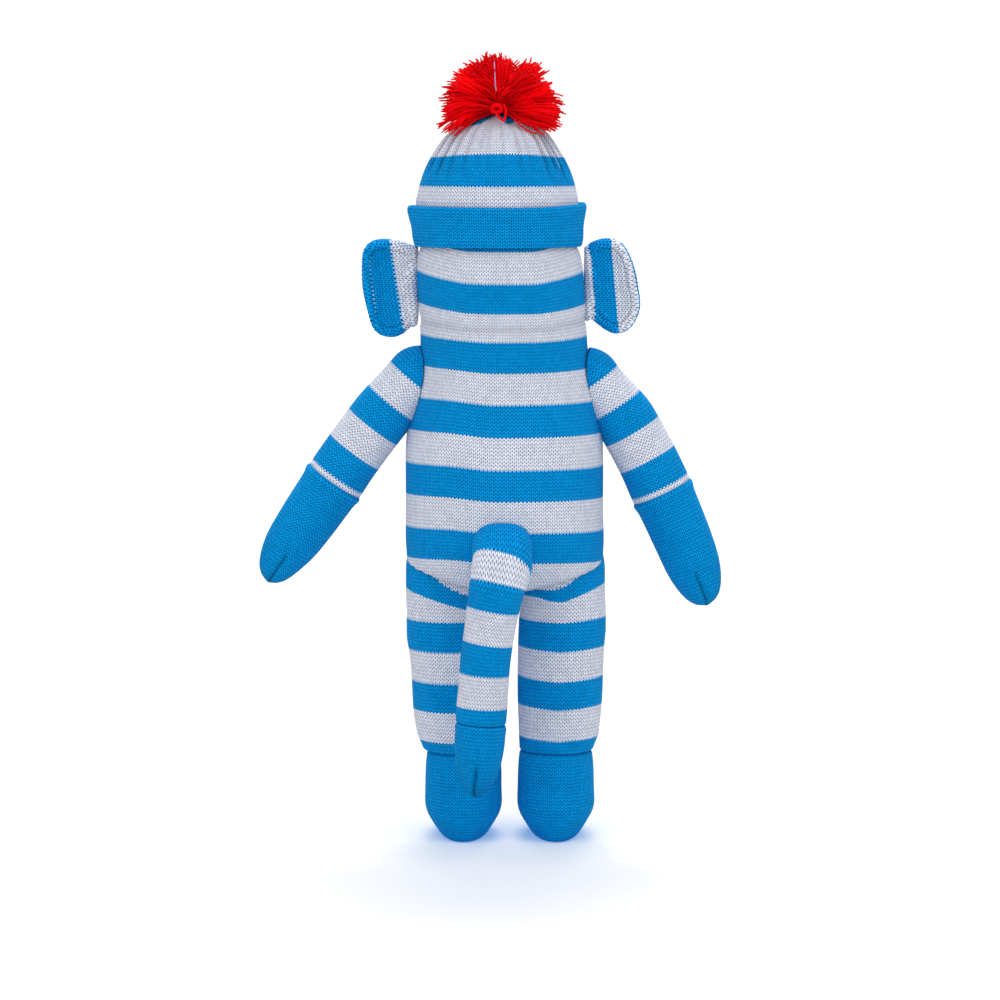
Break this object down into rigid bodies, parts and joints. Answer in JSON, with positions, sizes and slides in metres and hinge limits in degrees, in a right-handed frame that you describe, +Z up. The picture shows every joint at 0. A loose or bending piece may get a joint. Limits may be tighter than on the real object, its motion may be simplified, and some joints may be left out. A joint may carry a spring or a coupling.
{
  "type": "stuffed monkey",
  "caption": "Standing stuffed monkey of striped knitted tube with hinged arms, legs, tail and ears, a cuffed knit hat and a yarn pom-pom.",
  "frame": {"origin": "on the ground under the middle of the bounding box; the body's own axis stands at x -7.2 mm, y -6 mm because the two arms hang at different angles and the tail reaches further back than the muzzle reaches forward", "axes": "+Z up, -Y the way the monkey faces, +X its left side"},
  "size_m": [0.2398, 0.1375, 0.4064],
  "materials": {
    "striped_knit": "plain jersey knit in bright blue and off-white stripes, matt with a faint fuzz",
    "blue_knit": "plain jersey knit in bright blue, matt with a faint fuzz",
    "white_knit": "plain jersey knit in cool off-white, matt",
    "red_yarn": "soft red acrylic yarn",
    "black_thread": "black embroidery thread",
    "stuffing": "white polyester fibre fill",
    "eye_plastic": "glossy black",
    "washer_plastic": "matt natural"
  },
  "bodies": {
    "torso": {"body_cover": "striped_knit", "body_stuffing": "stuffing", "hat_crown": "striped_knit", "hat_cuff": "blue_knit", "muzzle_cover": "white_knit", "muzzle_stuffing": "stuffing", "mouth_stitch": "red_yarn", "nostril_stitch_left": "black_thread", "nostril_stitch_right": "black_thread", "eye_left": "eye_plastic", "eye_right": "eye_plastic", "eye_washer_left": "washer_plastic", "eye_washer_right": "washer_plastic"},
    "pompom": {"pompom": "red_yarn", "pompom_tie": "red_yarn"},
    "tail": {"tail_sleeve": "striped_knit", "tail_tip": "blue_knit", "tail_stuffing": "stuffing"},
    "ear_left": {"ear_left_back_panel": "striped_knit", "ear_left_front_panel": "striped_knit", "ear_left_padding": "stuffing"},
    "arm_left": {"arm_left_sleeve": "striped_knit", "arm_left_mitt": "blue_knit", "arm_left_stuffing": "stuffing"},
    "leg_left": {"leg_left_sleeve": "striped_knit", "leg_left_foot": "blue_knit", "leg_left_stuffing": "stuffing"},
    "ear_right": {"ear_right_back_panel": "striped_knit", "ear_right_front_panel": "striped_knit", "ear_right_padding": "stuffing"},
    "arm_right": {"arm_right_sleeve": "striped_knit", "arm_right_mitt": "blue_knit", "arm_right_stuffing": "stuffing"},
    "leg_right": {"leg_right_sleeve": "striped_knit", "leg_right_foot": "blue_knit", "leg_right_stuffing": "stuffing"}
  },
  "joints": [
    {"name": "shoulder_left", "type": "hinge", "parent": "torso", "child": "arm_left", "pos_m": [0.0388, -0.006, 0.241], "axis": [-1, 0, 0], "range_deg": [-60, 130]},
    {"name": "shoulder_right", "type": "hinge", "parent": "torso", "child": "arm_right", "pos_m": [-0.0532, -0.006, 0.241], "axis": [-1, 0, 0], "range_deg": [-60, 130]},
    {"name": "hip_left", "type": "hinge", "parent": "torso", "child": "leg_left", "pos_m": [0.0223, -0.006, 0.134], "axis": [-1, 0, 0], "range_deg": [0, 90]},
    {"name": "hip_right", "type": "hinge", "parent": "torso", "child": "leg_right", "pos_m": [-0.0367, -0.006, 0.134], "axis": [-1, 0, 0], "range_deg": [0, 90]},
    {"name": "tail_lift", "type": "hinge", "parent": "torso", "child": "tail", "pos_m": [-0.0062, 0.0532, 0.15], "axis": [1, 0, 0], "range_deg": [0, 100]},
    {"name": "ear_fold_left", "type": "hinge", "parent": "torso", "child": "ear_left", "pos_m": [0.0416, -0.006, 0.286], "axis": [0, 0, 1], "range_deg": [-30, 30], "stiffness_Nm_per_rad": 0.005},
    {"name": "ear_fold_right", "type": "hinge", "parent": "torso", "child": "ear_right", "pos_m": [-0.052, -0.006, 0.286], "axis": [0, 0, -1], "range_deg": [-30, 30], "stiffness_Nm_per_rad": 0.005},
    {"name": "pompom_tip", "type": "hinge", "parent": "torso", "child": "pompom", "pos_m": [-0.0032, -0.006, 0.3764], "axis": [1, 0, 0], "range_deg": [-12, 12], "stiffness_Nm_per_rad": 0.03}
  ]
}
